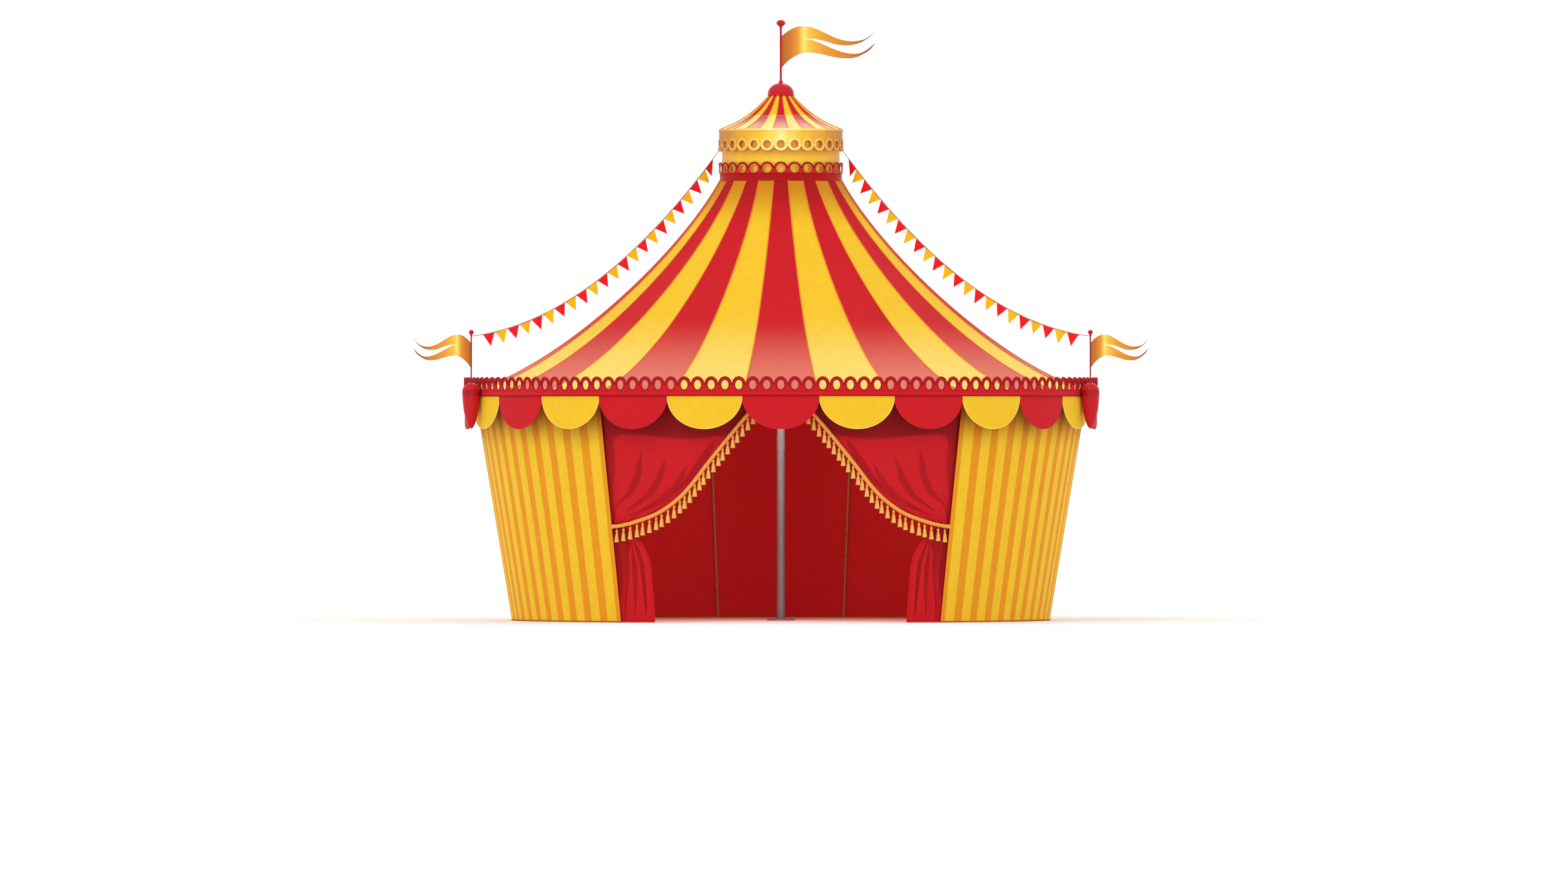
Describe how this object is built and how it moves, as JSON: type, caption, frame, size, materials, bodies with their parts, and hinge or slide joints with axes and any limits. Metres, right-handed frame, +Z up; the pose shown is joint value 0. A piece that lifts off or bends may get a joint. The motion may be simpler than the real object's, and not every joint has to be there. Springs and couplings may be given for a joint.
{
  "type": "circus big top tent",
  "caption": "Round striped circus tent with a concave roof, drum and small cone roof, scalloped eave, leaning side walls, curtained doorway, flags and bunting.",
  "frame": {"origin": "on the ground at the foot of the king pole, the centre of the round plan", "axes": "+Z up, the doorway faces -Y, +X to the right of someone who looks at the doorway"},
  "size_m": [16.1974, 13.9966, 13.295],
  "materials": {
    "red_canvas": "matt woven canvas",
    "striped_canvas": "matt woven canvas in red and yellow gores",
    "wall_canvas": "matt woven canvas in yellow and orange stripes",
    "gold_trim": "satin gold paint",
    "gold_cloth": "satin gold cloth and rope",
    "red_paint": "gloss red paint",
    "steel": "galvanised",
    "timber": "oiled pole timber"
  },
  "bodies": {
    "root": {"roof_section_01": "striped_canvas", "roof_section_02": "striped_canvas", "roof_section_03": "striped_canvas", "roof_section_04": "striped_canvas", "roof_section_05": "striped_canvas", "roof_section_06": "striped_canvas", "roof_section_07": "striped_canvas", "roof_section_08": "striped_canvas", "roof_section_09": "striped_canvas", "roof_section_10": "striped_canvas", "roof_section_11": "striped_canvas", "roof_section_12": "striped_canvas", "roof_section_13": "striped_canvas", "wall_panel_1": "wall_canvas", "wall_panel_2": "wall_canvas", "wall_panel_3": "wall_canvas", "wall_panel_4": "wall_canvas", "wall_panel_5": "wall_canvas", "wall_panel_6": "wall_canvas", "eave_band": "red_canvas", "valance": "striped_canvas", "eave_frame": "timber", "king_pole": "steel", "crown_ring": "steel", "drum_cylinder": "gold_trim", "drum_collar": "red_paint", "drum_lower_band": "red_paint", "drum_upper_band": "gold_trim", "cone_roof": "striped_canvas", "dome_cap": "red_paint", "main_flagpole": "red_paint", "main_flag": "gold_cloth", "corner_ornament_left": "red_paint", "corner_ornament_right": "red_paint", "end_flagpole_left": "red_paint", "end_flagpole_right": "red_paint", "end_flag_left": "gold_cloth", "end_flag_right": "gold_cloth", "curtain_left": "red_canvas", "curtain_right": "red_canvas", "curtain_trim_left": "gold_cloth", "curtain_trim_right": "gold_cloth", "door_frame": "steel", "bunting_line_left": "gold_cloth", "bunting_line_right": "gold_cloth", "bunting_pennants_left": "red_canvas", "bunting_pennants_right": "red_canvas"}
  },
  "joints": []
}
